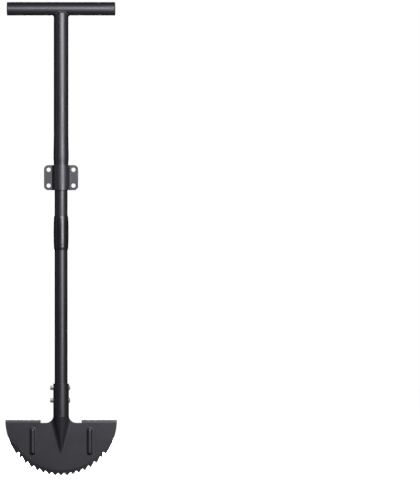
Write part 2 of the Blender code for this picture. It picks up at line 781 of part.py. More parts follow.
def build_grinding(cutters):
    """The wedge ring that thins the blade's front behind its teeth, ended by two slanted cuts."""
    slope = GRIND_DEPTH / (TOOTH_TIP_R - GRIND_R)
    reach = TOOTH_TIP_R + GRIND_RUN_IN
    profile = [
        (reach, GRIND_RUN_IN * slope),
        (reach, (GRIND_R - reach) * slope),
        (GRIND_R - GRIND_RUN_IN, GRIND_RUN_IN * slope),
    ]
    ring = turned("grinding", profile, cutters, GRIND_STEPS)
    ring.rotation_euler = SHEET_TURN
    ring.location = (0.0, 0.0, DISC_CENTER_Z)
    far = reach + GRIND_RUN_IN
    side_z = GRIND_END_Z + GRIND_END_SLOPE * (far - GRIND_END_X)
    zone = [
        (-far, DISC_CENTER_Z - far),
        (far, DISC_CENTER_Z - far),
        (far, side_z),
        (GRIND_END_X, GRIND_END_Z),
        (-GRIND_END_X, GRIND_END_Z),
        (-far, side_z),
    ]
    boolean(ring, make_cutter(prism("grinding_zone", zone, far, cutters, SHEET_TURN)), "INTERSECT")
    return make_cutter(ring)


def build_blade(parts, cutters):
    """The half-moon blade: pressed sheet, cut outline with teeth, ground edge."""
    sheet = build_sheet(parts)
    outline = prism("blade_blank", blade_outline(), 2 * TREAD_DEPTH, cutters, SHEET_TURN)
    boolean(sheet, make_cutter(outline), "INTERSECT")
    boolean(sheet, build_grinding(cutters))
    return sheet


# ---------------------------------------------------------------- assembly

def materials_by_part():
    """Finish of each piece."""
    coat = make_material("black_powder_coat", (0.024, 0.024, 0.027), 0.42, 0.0)
    blade = make_material("blade_powder_coat", (0.045, 0.046, 0.050), 0.40, 0.0)
    gloss = make_material("sleeve_gloss_coat", (0.016, 0.016, 0.018), 0.24, 0.0)
    plastic = make_material("black_plastic", (0.030, 0.030, 0.032), 0.50, 0.0)
    zinc = make_material("bright_zinc", (0.78, 0.78, 0.76), 0.28, 1.0)
    steel = make_material("plain_steel", (0.50, 0.50, 0.50), 0.35, 1.0)
    return {"coat": coat, "blade": blade, "gloss": gloss, "plastic": plastic, "zinc": zinc,
            "steel": steel}


def cross_hole(name, diameter, z, cutters):
    """Cutter for a hole through the shaft from side to side."""
    radius = diameter / 2 + GAP
    return make_cutter(cylinder(name, radius, 2 * SOCKET_OD, cutters, ALONG_X, (0.0, 0.0, z)))


def finish(obj, material, section):
    """Give a piece its material, its shading and its place in the assembly."""
    obj.data.materials.clear()
    obj.data.materials.append(material)
    shade(obj)
    obj.parent = section


def build_handle_section(parts, cutters, looks, section):
    """Everything fixed to the grip: cross bar, upper and mid tubes, bracket and spigot."""
    rivet_hole = cross_hole("rivet_hole", PIN_D, RIVET_Z, cutters)
    pin_hole = cross_hole("index_pin_hole", PIN_D, INDEX_PIN_Z, cutters)
    rivet_length = MID_TUBE_OD
    pin_length = 2 * (THREAD_R - GAP)
    front, back = build_brackets(parts, cutters)
    pieces = [
        (build_cross_bar(parts), "coat"),
        (build_cross_bar_cap(parts, "cross_bar_cap_left", AGAINST_X, -1), "plastic"),
        (build_cross_bar_cap(parts, "cross_bar_cap_right", ALONG_X, 1), "plastic"),
        (build_upper_tube(parts, cutters), "coat"),
        (front, "coat"),
        (back, "coat"),
        (build_mid_tube(parts, rivet_hole), "coat"),
        (build_spigot(parts, (rivet_hole, pin_hole)), "steel"),
        (build_pin(parts, "spigot_rivet", rivet_length, RIVET_Z), "steel"),
        (build_pin(parts, "index_pin", pin_length, INDEX_PIN_Z), "steel"),
    ]
    for obj, look in pieces:
        finish(obj, looks[look], section)


def build_head_section(parts, cutters, looks, section):
    """Everything that comes away with the head: lower tube, socket, fasteners and blade."""
    bolt_holes = [cross_hole("bolt_hole", BOLT_D, z, cutters) for z in BOLT_Z]
    pieces = [
        (build_lower_tube(parts, cutters, bolt_holes), "coat"),
        (build_socket_tube(parts, cutters, bolt_holes), "coat"),
        (build_blade(parts, cutters), "blade"),
    ]
    for place, z in zip(("lower", "upper"), BOLT_Z):
        pieces.append((build_bolt(parts, "socket_bolt_" + place, z), "zinc"))
        pieces.append((build_washer(parts, "socket_washer_" + place, z), "zinc"))
        pieces.append((build_nut(parts, cutters, "socket_nut_" + place, z), "zinc"))
    for obj, look in pieces:
        finish(obj, looks[look], section)


def add_section(name, parent, parts):
    """An empty on the shaft's axis that carries one group of pieces."""
    section = add_object(name, None, parts)
    section.parent = parent
    return section


def main():
    clear_scene()
    parts = make_collection(OBJECT_NAME)
    cutters = make_collection(OBJECT_NAME + "_cutters")
    looks = materials_by_part()
    handle_section = add_section("handle_section", None, parts)
    head_section = add_section("head_section", handle_section, parts)
    build_handle_section(parts, cutters, looks, handle_section)
    build_head_section(parts, cutters, looks, head_section)
    finish(build_sleeve(parts), looks["gloss"], head_section)
    bpy.context.view_layer.update()


main()
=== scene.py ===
"""Looks of the half-moon lawn edger: black powder-coated steel with bright zinc fasteners.

Frame: metres, +Z up the shaft, -Y the front of the blade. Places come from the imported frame's boxes.
"""
import functools
import math

import bmesh
import bpy
from mathutils import Matrix, Vector


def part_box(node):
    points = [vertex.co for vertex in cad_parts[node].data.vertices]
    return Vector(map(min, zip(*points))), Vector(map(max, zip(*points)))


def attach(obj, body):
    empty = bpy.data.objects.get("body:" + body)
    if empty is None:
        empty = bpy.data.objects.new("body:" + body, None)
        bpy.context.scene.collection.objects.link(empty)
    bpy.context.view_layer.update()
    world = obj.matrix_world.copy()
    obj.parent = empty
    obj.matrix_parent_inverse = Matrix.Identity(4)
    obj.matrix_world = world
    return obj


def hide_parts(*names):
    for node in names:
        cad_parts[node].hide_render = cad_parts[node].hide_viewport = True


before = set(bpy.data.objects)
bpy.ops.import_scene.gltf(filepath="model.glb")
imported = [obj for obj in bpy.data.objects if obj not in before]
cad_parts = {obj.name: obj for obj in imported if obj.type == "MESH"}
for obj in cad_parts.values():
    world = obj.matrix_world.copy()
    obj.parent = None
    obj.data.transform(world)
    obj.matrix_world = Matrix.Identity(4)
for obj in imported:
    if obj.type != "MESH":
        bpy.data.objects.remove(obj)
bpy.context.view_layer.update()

HANDLE = "handle_section"
HEAD = "head_section"
SLEEVE = "union_sleeve"

MERGE = 1e-6                     # points closer than this are one
ROUND_STEPS = 96                 # sides of a tube
SMALL_STEPS = 48                 # sides of a fastener
TUBE_WALL = 0.0015
EDGE = 0.0003                    # rounding that the coat leaves on a cut edge; least room too
HEAD_DRAW = 0.014                # how far the head comes down out of the sleeve

# Upper tube's swell above the bracket
SWELL_HEIGHT = 0.0006
SWELL_ABOVE = 0.050
SWELL_BELOW = 0.015
SWELL_FROM_BRACKET = 0.0161      # widest point over the bracket's top edge
SWELL_STEPS_ABOVE = 20
SWELL_STEPS_BELOW = 8

# Powder coats: darker tone, lighter tone, roughness, depth of the orange peel
COATS = {
    "shaft_coat": ((0.012, 0.012, 0.0135), (0.020, 0.020, 0.022), 0.40, 0.00010),
    "bracket_coat": ((0.018, 0.018, 0.020), (0.030, 0.030, 0.033), 0.42, 0.00010),
    "sleeve_coat": ((0.009, 0.009, 0.010), (0.014, 0.014, 0.0155), 0.30, 0.00004),
    "blade_coat": ((0.023, 0.023, 0.025), (0.036, 0.036, 0.040), 0.42, 0.00010),
}
COAT_SPECULAR = 1.0

# Metals: darker tone, lighter tone, roughness, stretch of the grain's noise, metallic share
METALS = {
    "plain_steel": ((0.42, 0.42, 0.42), (0.55, 0.55, 0.54), 0.34, (0.1, 0.1, 4.0), 1.0),
    "bright_zinc": ((0.70, 0.71, 0.72), (0.84, 0.84, 0.82), 0.30, (0.3, 2.0, 2.0), 0.6),
}
GRAIN_DEPTH = 0.00002

# Welds
BAR_WELD_R = 0.0024
BAR_WELD_STEPS = 240
WELD_SINK = 0.0010               # how far inside the tube's skin the bead round its top runs
SOCKET_WELD_R = 0.0009           # dressed down in front
TONGUE_WELD_R = 0.0014
TONGUE_WELD_STEPS = 40
WELD_RIPPLE = 0.0022             # length of one ripple
WELD_RIPPLE_SHARE = 0.10         # a ripple's height as a share of the bead's radius
WELD_TIP_SHARE = 0.1             # how thin an open bead gets at its ends
WELD_SIDES = 12
BAR_WELD_BLUR = 4                # steps each side over which the bar weld's path is evened out

# Plastic end caps
CAP_FLANGE = 0.0016
CAP_DOME = 0.0004
CAP_WALL = 0.0015
CAP_FACE_SHARES = (0.0, 0.3, 0.6, 0.85)                              # of the radius, across the dome
CAP_ROUNDING = (0.0005, 0.0002, 0.0001, 0.0003, 0.0003, 0.0004)      # from the rim to the cup's floor

# Bracket
BRACKET_CORNER = 0.009
BRACKET_SHEET = 0.0023
BRACKET_BEND = 0.002
EAR_GAP = 0.001
EAR_HOLE_D = 0.0088
EAR_HOLE_SIDES = 36
EAR_HOLE_SPACING = (0.0521, 0.0333)

# Coupling sleeve
SLEEVE_LIP_STEP = 0.0013         # the lips are this much thinner than the barrel
SLEEVE_END_STEP = 0.0005         # and the barrel's ends this much thinner than its middle
SLEEVE_TAPER = 0.0055            # height of each lip's slope
SLEEVE_GROOVES = 3               # shallow turned grooves by each end
SLEEVE_GROOVE_DEPTH = 0.00012
SLEEVE_GROOVE_PITCH = 0.0016
SLEEVE_STEPS = 40
SLEEVE_LIP_ROUNDING = 0.0005
SLEEVE_SHOULDER_ROUNDING = 0.0012

# Socket
SOCKET_WALL = 0.0025
SOCKET_TONGUE_Z = 0.094          # low end of the slanted tongue behind the blade
SOCKET_TONGUE_TOP_Z = 0.119      # where its slant leaves the rear of the tube
SOCKET_BASE_Z = 0.125            # foot of the socket in front, on the blade's neck
SOCKET_LIP_ROUNDING = 0.0006

# Fasteners
BOLT_HEAD_HEIGHT = 0.0028
BOLT_HEAD_RIM = 0.0004
BOLT_HEAD_ROUNDING = 0.0002
BOLT_SHANK_R = 0.003
BOLT_CHAMFER = 0.0005
BOLT_KEY_FLATS = 0.004
BOLT_KEY_DEPTH = 0.0018
NUT_FLATS = 0.010
NUT_HEX_HEIGHT = 0.0036
NUT_HEIGHT = 0.005
NUT_CHAMFER = 0.0006
NUT_COLLAR_R = 0.0045
NUT_BORE_R = 0.0033
NUT_FACE_STEP = 0.0001           # the chamfer's circle lies this far inside the flats
NUT_ROUNDING = (0.0002, 0.0009, 0.0002)                              # round the collar
NUT_BLANK_ROOM = 0.0003          # the turned blank reaches this far outside the flats' corners
NUT_STEPS = SMALL_STEPS + 2      # a count that keeps the round faces' edges off the corners
INSERT_ROOM = 0.0006             # the collar's bore is this much wider than the nut's
INSERT_OUTER = 0.0005            # the nylon ring's outside and inside, from the nut's bore
INSERT_INNER = -0.0002
INSERT_SINK = 0.0003             # how far its top lies under the collar's
INSERT_DEPTH = 0.0012
INSERT_ROUNDING = 0.0002
WASHER_ROUNDING = (0.00035, 0.0001, 0.0001, 0.0002)

# Blade
SHEET = 0.0022
DISC_CENTER_Z = 0.120            # the rim and the teeth lie on circles about this height
TOOTH_TIP_R = 0.120
TOOTH_ROOT_R = 0.1133
TOOTH_PITCH = 0.0125
PITCHED_TEETH = 6                # evenly spaced teeth each side of the middle one
OUTER_TEETH = (0.0868, 0.0947)   # the two closer teeth that end each row
TOOTH_LEAN = 0.0013              # roots after the first lie this far outside their pitch's middle
LAST_ROOT_STEP = 0.0012          # the last root lies this far outside the tooth before it
LAST_ROOT_R = 0.1120
ROOT_CUT = 0.0017                # how far from its corner a root's rounding starts
TIP_CUT = 0.0007                 # and a tip's
RIM_STEPS = 24                   # stretches of the bare rim outside the last tooth
RIM_TOP_ANGLE = 4.0              # degrees under level at which the rim meets the straight side
RECESS_Z = 0.1117                # bare top edge between the treads and the socket
RECESS_X = 0.043
NECK_FILLET_R = 0.0161
NECK_FILLET_X = 0.032
GRIND_R = 0.1078                 # inner edge of the ground band behind the teeth
GRIND_DEPTH = 0.0016
GRIND_END = (0.090, 0.062)       # where the slanted cut that ends the band starts
GRIND_END_SLOPE = 0.58
GRIND_RUN_IN = 0.008             # the grinding cutter reaches this far past the band
GRIND_STEPS = 256
RIDGE_ANGLE = math.radians(4.0)  # a turn this large by the ground wedge is kept crisp
TREAD_BEND_Z = 0.112
TREAD_BEND_R = 0.0055
TREAD_DEPTH = 0.018
SLIT = 0.0005                    # cut that parts a tread's fold from the flat sheet beside it
FROG_TIP_Z = 0.0476              # the half cone under the socket starts here
FROG_FILLET = (0.006, 0.011)     # foot fillet at the frog's tip and at its top
FROG_LEAST_FOOT = 0.004          # least half width of the frog's grid columns
BEAD_X = 0.060
BEAD_Z = (0.050, 0.096)
BEAD_R = 0.005
BEAD_FILLET = 0.0022

# Grid lines of the sheet before its outline is cut
FROG_COLUMNS = 24
OUTER_COLUMNS = (0.72, 0.86)     # plain columns outside a bead, as shares of the half width
SHEET_MARGIN = 0.003             # the sheet starts this much wider on each side
BEAD_LINES = 12                  # from the middle of a bead to its foot
BEAD_ROWS = 14                   # along the straight part of a bead
BEND_ROWS = 12
ROWS_BELOW_BEAD = (-0.002, 0.010, 0.020, 0.030)
ROWS_UNDER_BEND = (0.106, 0.109)
ROW_ON_TREAD = 0.125

SHEET_TURN = Matrix.Rotation(math.pi / 2, 4, "X")                    # XY outline stands in XZ
SIDE_TURN = Matrix.Rotation(math.pi / 2, 4, "Z") @ SHEET_TURN        # XY outline stands in YZ
ALONG_X = Matrix.Rotation(math.pi / 2, 4, "Y")
AGAINST_X = Matrix.Rotation(-math.pi / 2, 4, "Y")

# Camera: a long lens straight in front, framed so the tool stands left of the middle
VIEW_HEIGHT = 1.0248             # metres that the picture's long side covers at the tool
VIEW_CENTER = (0.3127, 0.4872)
LENS = 300.0
SENSOR = 36.0

# Studio
FLOOR_RADIUS = 6.0
FLOOR_GLOW = 0.97                # just short of white before the lights add to it
DIM_TONE = (0.86, 0.93, 1.0, 1.0)
DIM_STRENGTH = 0.02
KEY_TINT = (1.0, 0.98, 1.07)


# ---------------------------------------------------------------- materials

def new_material(name):
    """A node material and its Principled shader."""
    material = bpy.data.materials.new(name)
    material.use_nodes = True
    return material, material.node_tree.nodes["Principled BSDF"]


def add_node(tree, kind, **values):
    """A shader node with some of its settings or inputs filled in."""
    node = tree.nodes.new(kind)
    for key, value in values.items():
        if hasattr(node, key):
            setattr(node, key, value)
        else:
            node.inputs[key].default_value = value
    return node


def noise(tree, scale, detail=2.0, stretch=(1.0, 1.0, 1.0)):
    """Noise in object space; scale counts features a metre."""
    place = add_node(tree, "ShaderNodeTexCoord")
    mapping = add_node(tree, "ShaderNodeMapping")
    mapping.inputs["Scale"].default_value = stretch
    texture = add_node(tree, "ShaderNodeTexNoise", Scale=scale, Detail=detail)
    tree.links.new(place.outputs["Object"], mapping.inputs["Vector"])
    tree.links.new(mapping.outputs["Vector"], texture.inputs["Vector"])
    return texture.outputs["Fac"]


def spread(tree, source, low, high, start=0.3, end=0.7):
    """A noise brought to a range of values."""
    node = add_node(tree, "ShaderNodeMapRange")
    node.inputs["From Min"].default_value = start
    node.inputs["From Max"].default_value = end
    node.inputs["To Min"].default_value = low
    node.inputs["To Max"].default_value = high
    tree.links.new(source, node.inputs["Value"])
    return node.outputs["Result"]


def two_tones(tree, factor, dark, light):
    """A colour between two, by a factor."""
    node = add_node(tree, "ShaderNodeMix", data_type="RGBA")
    node.inputs["A"].default_value = (*dark, 1.0)
    node.inputs["B"].default_value = (*light, 1.0)
    tree.links.new(factor, node.inputs["Factor"])
    return node.outputs["Result"]


def add_bumps(tree, shader, layers):
    """Stack bumps on a shader; each layer is a height output, a strength and a depth in metres."""
    below = None
    for height, strength, depth in layers:
        node = add_node(tree, "ShaderNodeBump", Strength=strength, Distance=depth)
        tree.links.new(height, node.inputs["Height"])
        if below is not None:
            tree.links.new(below, node.inputs["Normal"])
        below = node.outputs["Normal"]
    tree.links.new(below, shader.inputs["Normal"])


def powder_coat(name, dark, light, roughness, peel_depth):
    """Baked powder coat: orange peel, fine fleck, faint patches of gloss and handling haze."""
    material, shader = new_material(name)
    tree = material.node_tree
    fleck = spread(tree, noise(tree, 2600.0, 1.0), 0.0, 1.0, 0.35, 0.65)
    tree.links.new(two_tones(tree, fleck, dark, light), shader.inputs["Base Color"])
    patches = noise(tree, 22.0, 3.0)
    tree.links.new(spread(tree, patches, roughness - 0.035, roughness + 0.045),
                   shader.inputs["Roughness"])
    shader.inputs["Specular IOR Level"].default_value = COAT_SPECULAR
    add_bumps(tree, shader, [
        (noise(tree, 520.0, 2.0), 0.35, peel_depth),
        (noise(tree, 1900.0, 2.0), 0.25, peel_depth / 3),
    ])
    return material


def moulded_plastic(name):
    """Black moulded plastic with a fine spark-eroded grain."""
    material, shader = new_material(name)
    tree = material.node_tree
    clouds = spread(tree, noise(tree, 90.0, 3.0), 0.0, 1.0)
    tree.links.new(two_tones(tree, clouds, (0.020, 0.020, 0.022), (0.034, 0.034, 0.036)),
                   shader.inputs["Base Color"])
    tree.links.new(spread(tree, noise(tree, 1500.0, 2.0), 0.44, 0.58), shader.inputs["Roughness"])
    add_bumps(tree, shader, [(noise(tree, 2400.0, 3.0), 0.5, 0.00005)])
    return material


def bright_metal(name, dark, light, roughness, stretch, metallic):
    """Plated or turned metal: drawn grain along one direction, clouds of tone and gloss."""
    material, shader = new_material(name)
    tree = material.node_tree
    clouds = spread(tree, noise(tree, 260.0, 3.0), 0.0, 1.0)
    tree.links.new(two_tones(tree, clouds, dark, light), shader.inputs["Base Color"])
    shader.inputs["Metallic"].default_value = metallic
    grain = noise(tree, 900.0, 3.0, stretch)
    tree.links.new(spread(tree, grain, roughness - 0.06, roughness + 0.08), shader.inputs["Roughness"])
    add_bumps(tree, shader, [(grain, 0.3, GRAIN_DEPTH)])
    return material


def nylon(name):
    """Milky nylon of a lock nut's insert."""
    material, shader = new_material(name)
    tree = material.node_tree
    clouds = spread(tree, noise(tree, 700.0, 2.0), 0.0, 1.0)
    tree.links.new(two_tones(tree, clouds, (0.56, 0.57, 0.58), (0.70, 0.70, 0.68)),
                   shader.inputs["Base Color"])
    shader.inputs["Roughness"].default_value = 0.45
    shader.inputs["Subsurface Weight"].default_value = 0.15
    add_bumps(tree, shader, [(noise(tree, 1800.0, 2.0), 0.3, 0.00003)])
    return material


def make_materials():
    """All finishes by the record's slot names, and nylon."""
    looks = {name: powder_coat(name, *values) for name, values in COATS.items()}
    looks.update({name: bright_metal(name, *values) for name, values in METALS.items()})
    looks["cap_plastic"] = moulded_plastic("cap_plastic")
    looks["nylon"] = nylon("nylon")
    return looks


# ---------------------------------------------------------------- mesh helpers

def finished(bm, name, turn=Matrix.Identity(4), place=(0.0, 0.0, 0.0)):
    """A linked object from a bmesh, with its mesh turned and placed in the frame."""
    bmesh.ops.transform(bm, matrix=Matrix.Translation(place) @ turn, verts=bm.verts[:])
    bmesh.ops.recalc_face_normals(bm, faces=bm.faces[:])
    mesh = bpy.data.meshes.new(name)
    bm.to_mesh(mesh)
    bm.free()
    obj = bpy.data.objects.new(name, mesh)
    bpy.context.scene.collection.objects.link(obj)
    return obj


def bake(obj):
    """Replace an object's mesh by the result of its modifiers."""
    bpy.context.view_layer.update()
    evaluated = obj.evaluated_get(bpy.context.evaluated_depsgraph_get())
    mesh = bpy.data.meshes.new_from_object(evaluated)
    obj.modifiers.clear()
    obj.data = mesh
    mesh.name = obj.name


def combine(obj, other, operation="DIFFERENCE"):
    """Boolean an object with another one, which is used up."""
    modifier = obj.modifiers.new("combine", "BOOLEAN")
    modifier.object = other
    modifier.operation = operation
    modifier.solver = "EXACT"
    bake(obj)
    bpy.data.objects.remove(other, do_unlink=True)


def round_edges(obj, width, segments=2, angle=50.0):
    """Round an object's sharp edges."""
    modifier = obj.modifiers.new("edges", "BEVEL")
    modifier.width = width
    modifier.segments = segments
    modifier.limit_method = "ANGLE"
    modifier.angle_limit = math.radians(angle)
    modifier.miter_outer = "MITER_ARC"
    bake(obj)


def shade(obj, angle=32.0, crease=None):
    """Smooth shading that keeps sharp edges and lets large faces rule the normals."""
    obj.data.shade_smooth()
    obj.data.set_sharp_from_angle(angle=math.radians(angle))
    if crease:
        crease(obj.data)
    modifier = obj.modifiers.new("normals", "WEIGHTED_NORMAL")
    modifier.keep_sharp = True
    bake(obj)


def arc(center, radius, start, end, steps):
    """Points of an arc in a plane, angles in degrees, both ends included."""
    points = []
    for i in range(steps + 1):
        angle = math.radians(start + (end - start) * i / steps)
        points.append((center[0] + radius * math.cos(angle), center[1] + radius * math.sin(angle)))
    return points


def softened(points, cut, steps=3):
    """A closed outline with its corners rounded; cut is one distance or one for each point."""
    cuts = [cut] * len(points) if isinstance(cut, float) else cut
    result = []
    for i, (point, reach) in enumerate(zip(points, cuts)):
        if reach <= 0.0:
            result.append(point)
            continue
        corner = Vector(point)
        before = Vector(points[i - 1]) - corner
        after = Vector(points[(i + 1) % len(points)]) - corner
        start = corner + before.normalized() * min(reach, before.length / 2)
        end = corner + after.normalized() * min(reach, after.length / 2)
        for step in range(steps + 1):
            t = step / steps
            result.append(tuple(start * (1 - t) ** 2 + corner * (2 * t * (1 - t)) + end * t ** 2))
    return result


def polygon(sides, radius, turn=0):
    """Corners of a regular polygon about the origin, the first one at an angle in degrees."""
    return arc((0.0, 0.0), radius, turn, turn + 360 - 360 / sides, sides - 1)


def hexagon(flats, turn=0):
    """Corners of a hexagon by its width across flats."""
    return polygon(6, flats / 2 / math.cos(math.pi / 6), turn)


def lathe(name, profile, steps=ROUND_STEPS, turn=Matrix.Identity(4), place=(0.0, 0.0, 0.0)):
    """A turned piece from a closed profile of (radius, z)."""
    bm = bmesh.new()
    ring = [bm.verts.new((radius, 0.0, z)) for radius, z in profile]
    edges = [bm.edges.new(pair) for pair in zip(ring, ring[1:] + ring[:1])
             if pair[0].co.x > MERGE or pair[1].co.x > MERGE]
    bmesh.ops.spin(bm, geom=ring + edges, cent=(0.0, 0.0, 0.0), axis=(0.0, 0.0, 1.0),
                   angle=2 * math.pi, steps=steps, use_merge=True)
    bmesh.ops.remove_doubles(bm, verts=bm.verts[:], dist=MERGE)
    return finished(bm, name, turn, place)


def slab(name, outline, half_depth, turn=Matrix.Identity(4), place=(0.0, 0.0, 0.0)):
    """A flat outline given a thickness, both sides of its plane."""
    bm = bmesh.new()
    face = bm.faces.new([bm.verts.new((x, y, -half_depth)) for x, y in outline])
    grown = bmesh.ops.extrude_face_region(bm, geom=[face], use_keep_orig=True)
    tops = [item for item in grown["geom"] if isinstance(item, bmesh.types.BMVert)]
    bmesh.ops.translate(bm, vec=(0.0, 0.0, 2 * half_depth), verts=tops)
    return finished(bm, name, turn, place)


def bead(name, path, radius, closed=False):
    """A weld bead along a path of points, with the ripples that its pool leaves."""
    bm = bmesh.new()
    rings = []
    travelled = 0.0
    count = len(path)
    for i, point in enumerate(path):
        point = Vector(point)
        before = Vector(path[i - 1]) if closed or i else point
        after = Vector(path[(i + 1) % count]) if closed or i < count - 1 else point
        along = (after - before).normalized()
        travelled += (point - before).length
        out = Vector((point.x, point.y, 0.0)).normalized()
        across = along.cross(out).normalized()
        out = across.cross(along).normalized()
        size = radius * (1.0 + WELD_RIPPLE_SHARE * math.sin(2 * math.pi * travelled / WELD_RIPPLE))
        if not closed:
            fullness = math.sqrt(max(1.0 - (2.0 * i / (count - 1) - 1.0) ** 8, 0.0))
            size *= fullness * (1.0 - WELD_TIP_SHARE) + WELD_TIP_SHARE
        ring = []
        for side in range(WELD_SIDES):
            angle = 2 * math.pi * side / WELD_SIDES
            place = point + out * size * math.cos(angle) + across * size * math.sin(angle)
            ring.append(bm.verts.new(place))
        rings.append(ring)
    pairs = list(zip(rings, rings[1:] + rings[:1])) if closed else list(zip(rings, rings[1:]))
    for ring, following in pairs:
        for side in range(WELD_SIDES):
            nearby = (side + 1) % WELD_SIDES
            bm.faces.new((ring[side], ring[nearby], following[nearby], following[side]))
    if not closed:
        bm.faces.new(rings[0])
        bm.faces.new(rings[-1])
    return finished(bm, name)


def add_piece(obj, looks, slot, body, nodes=(), angle=32.0, crease=None):
    """Shade a piece, give it its finish and put it on its body in place of CAD nodes."""
    shade(obj, angle, crease)
    obj.data.materials.clear()
    obj.data.materials.append(looks[slot])
    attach(obj, body)
    if nodes:
        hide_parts(*nodes)


@functools.cache
def radius_of(node):
    """Largest distance of a turned node's surface from its axis along X."""
    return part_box(node)[1].x


# ---------------------------------------------------------------- T handle and shaft

def bar_sizes():
    """Radius and axis height of the cross bar."""
    low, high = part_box("cross_bar")
    return (high.z - low.z) / 2, (high.z + low.z) / 2


def build_cross_bar(looks):
    """The T handle's grip tube."""
    radius, z = bar_sizes()
    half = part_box("cross_bar")[1].x
    profile = [(radius, -half), (radius, half), (radius - TUBE_WALL, half), (radius - TUBE_WALL, -half)]
    obj = lathe("grip_tube", softened(profile, EDGE), turn=ALONG_X, place=(0.0, 0.0, z))
    add_piece(obj, looks, "shaft_coat", HANDLE, ["cross_bar"])


def build_cap(looks, name, node, turn, side):
    """End plug: a slightly domed flange with a soft rim, and the cup that goes into the tube."""
    radius, z = bar_sizes()
    low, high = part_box(node)
    depth = high.x - low.x
    outer_x = high.x if side > 0 else low.x
    plug = radius - TUBE_WALL - EDGE
    bore = plug - CAP_WALL
    floor = -CAP_FLANGE - CAP_WALL
    face = [(radius * share, -CAP_DOME * share ** 2) for share in CAP_FACE_SHARES]
    edge = [
        (radius, -CAP_DOME),
        (radius, -CAP_FLANGE),
        (plug, -CAP_FLANGE),
        (plug, -depth),
        (bore, -depth),
        (bore, floor),
    ]
    profile = face + softened(edge, CAP_ROUNDING)
    profile.append((0.0, floor))
    obj = lathe(name, profile, turn=turn, place=(outer_x, 0.0, z))
    add_piece(obj, looks, "cap_plastic", HANDLE, [node])


def swelled(radius, z, center):
    """Radius of the upper tube at a height, widest just above the bracket."""
    reach = SWELL_ABOVE if z > center else SWELL_BELOW
    share = min(abs(z - center) / reach, 1.0)
    return radius + SWELL_HEIGHT * (1 + math.cos(math.pi * share)) / 2


def build_upper_tube(looks):
    """The thick top section of the shaft, swelled above its bracket and cut to seat the grip."""
    low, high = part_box("upper_tube")
    radius = high.x - SWELL_HEIGHT
    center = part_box("bracket_front")[1].z + SWELL_FROM_BRACKET
    heights = [high.z]
    heights += [center + SWELL_ABOVE * (1 - i / SWELL_STEPS_ABOVE) for i in range(SWELL_STEPS_ABOVE)]
    heights += [center - SWELL_BELOW * i / SWELL_STEPS_BELOW for i in range(SWELL_STEPS_BELOW + 1)]
    heights.append(low.z)
    outer = [(swelled(radius, z, center), z) for z in heights]
    inner = [(radius - TUBE_WALL, low.z), (radius - TUBE_WALL, high.z)]
    cuts = [EDGE] + [0.0] * (len(outer) - 2) + [EDGE, EDGE, EDGE]
    obj = lathe("shaft_upper_tube", softened(outer + inner, cuts))
    bar_radius, bar_z = bar_sizes()
    half = 2 * radius
    seat = [(0.0, -half), (bar_radius, -half), (bar_radius, half), (0.0, half)]
    combine(obj, lathe("bar_seat", seat, turn=ALONG_X, place=(0.0, 0.0, bar_z)))
    add_piece(obj, looks, "shaft_coat", HANDLE, ["upper_tube"])


def build_plain_tube(looks, name, node, radius, body):
    """A straight round tube that stands on the shaft's axis."""
    low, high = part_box(node)
    inner = radius - TUBE_WALL
    profile = [(radius, high.z), (radius, low.z), (inner, low.z), (inner, high.z)]
    obj = lathe(name, softened(profile, EDGE))
    add_piece(obj, looks, "shaft_coat", body, [node])


def build_bar_weld(looks):
    """Weld round the top of the upper tube, which follows the seat of the cross bar."""
    bar_radius, bar_z = bar_sizes()
    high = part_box("upper_tube")[1]
    reach = high.x - SWELL_HEIGHT - WELD_SINK
    seat = []
    for i in range(BAR_WELD_STEPS):
        angle = 2 * math.pi * i / BAR_WELD_STEPS
        y = (high.x - SWELL_HEIGHT) * math.sin(angle)
        under = bar_z - math.sqrt(max(bar_radius ** 2 - y ** 2, 0.0))
        seat.append(Vector((reach * math.cos(angle), reach * math.sin(angle), min(under, high.z))))
    path = []
    for i in range(BAR_WELD_STEPS):
        near = [seat[(i + k) % BAR_WELD_STEPS] for k in range(-BAR_WELD_BLUR, BAR_WELD_BLUR + 1)]
        path.append(sum(near, Vector()) / len(near))
    obj = bead("weld_cross_bar", path, BAR_WELD_R, closed=True)
    add_piece(obj, looks, "shaft_coat", HANDLE, angle=80.0)


# ---------------------------------------------------------------- bracket

def saddle_outline(tube_radius, end_x):
    """Section of one saddle plate, bulging to -Y, from its right ear round to its left."""
    inner_r = tube_radius + EDGE
    outer_r = inner_r + BRACKET_SHEET
    ear_front = -(EAR_GAP / 2 + BRACKET_SHEET)
    bend_y = ear_front - BRACKET_BEND
    bend_x = math.sqrt((outer_r + BRACKET_BEND) ** 2 - bend_y ** 2)
    bend = (bend_x, bend_y)
    meet = math.degrees(math.atan2(bend_y, bend_x))
    outside = arc((0.0, 0.0), outer_r, -90, meet, 32)
    outside += arc(bend, BRACKET_BEND, 180 + meet, 90, 10)
    inside = arc(bend, BRACKET_BEND + BRACKET_SHEET, 90, 180 + meet, 10)
    inside += arc((0.0, 0.0), inner_r, meet, -90, 32)
    right = outside + [(end_x, ear_front), (end_x, -EAR_GAP / 2)] + inside
    left = [(-x, y) for x, y in reversed(right)][1:-1]
    return right + left


def rounded_rectangle(width, height, corner, steps):
    """Outline of a rectangle with round corners about the origin."""
    points = []
    for turn, (sx, sy) in enumerate(((1, 1), (-1, 1), (-1, -1), (1, -1))):
        center = (sx * (width / 2 - corner), sy * (height / 2 - corner))
        points += arc(center, corner, 90 * turn, 90 * turn + 90, steps)
    return points


